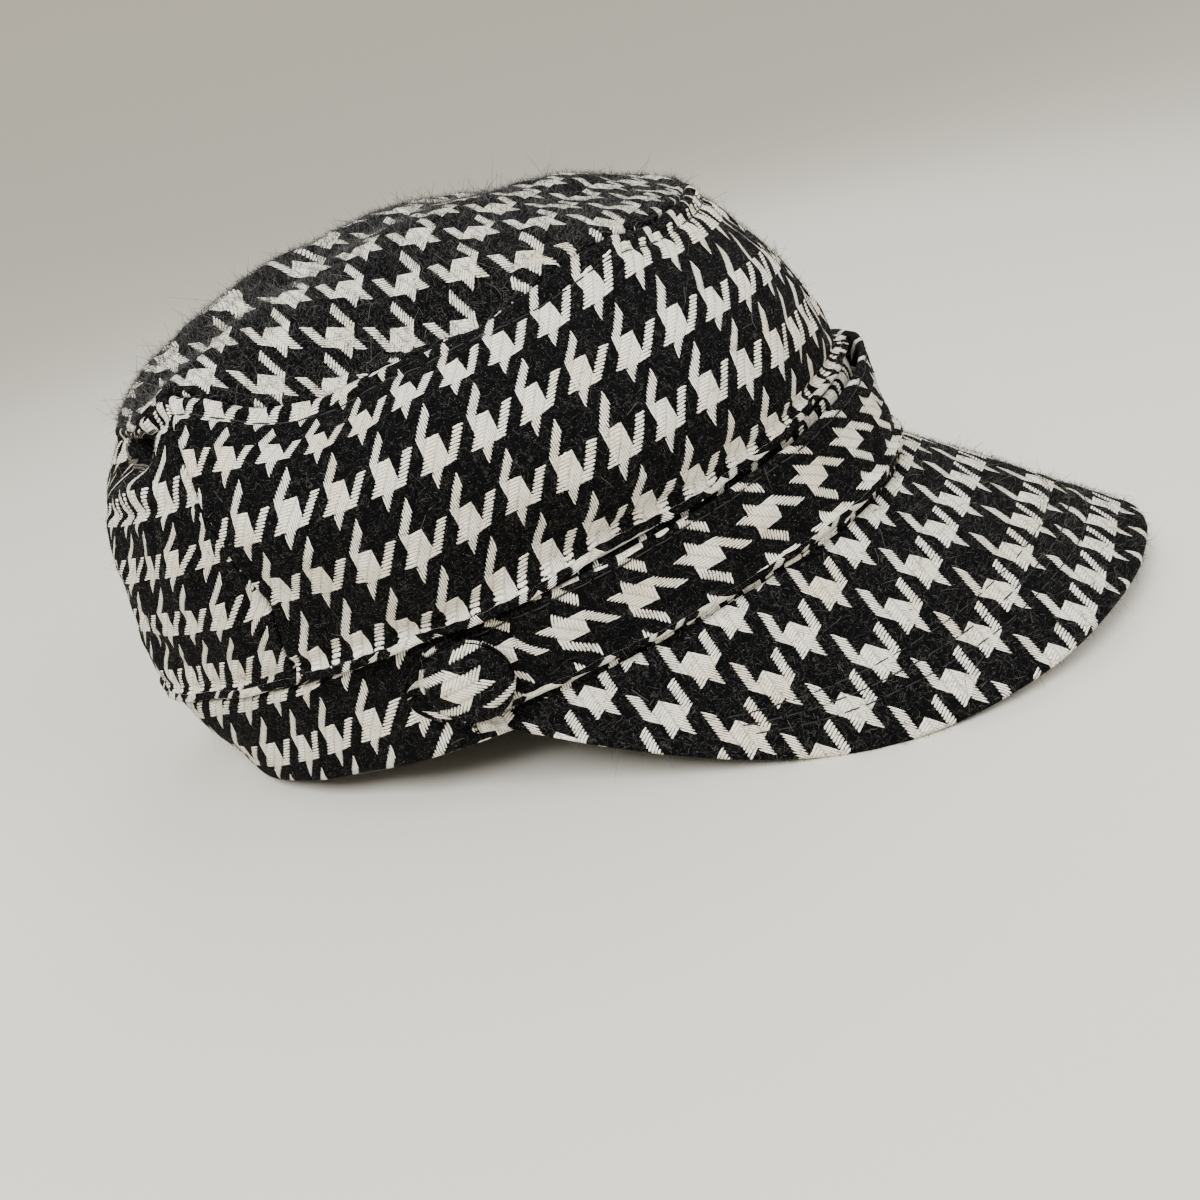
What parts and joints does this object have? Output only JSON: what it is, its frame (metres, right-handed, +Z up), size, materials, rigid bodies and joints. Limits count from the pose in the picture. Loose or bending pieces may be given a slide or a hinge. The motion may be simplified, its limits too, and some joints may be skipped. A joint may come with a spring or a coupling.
{
  "type": "peaked cap",
  "caption": "Soft wool peaked cap with a panelled crown, upright headband, cloth-covered peak and a buttoned front strap, in black and cream houndstooth.",
  "frame": {"origin": "on the surface that the cap rests on, under the middle of its outline", "axes": "+X forward to the tip of the peak, the wearer's right side towards -Y, +Z up from the surface"},
  "size_m": [0.2859, 0.1861, 0.1349],
  "materials": {
    "houndstooth_wool": "matt",
    "black_tape": "matt"
  },
  "bodies": {
    "root": {"crown_top": "houndstooth_wool", "crown_side_right": "houndstooth_wool", "crown_side_left": "houndstooth_wool", "crown_back": "houndstooth_wool", "headband": "houndstooth_wool", "front_strap": "houndstooth_wool", "peak": "houndstooth_wool", "button_right": "houndstooth_wool", "button_left": "houndstooth_wool", "sweatband": "black_tape"}
  },
  "joints": []
}
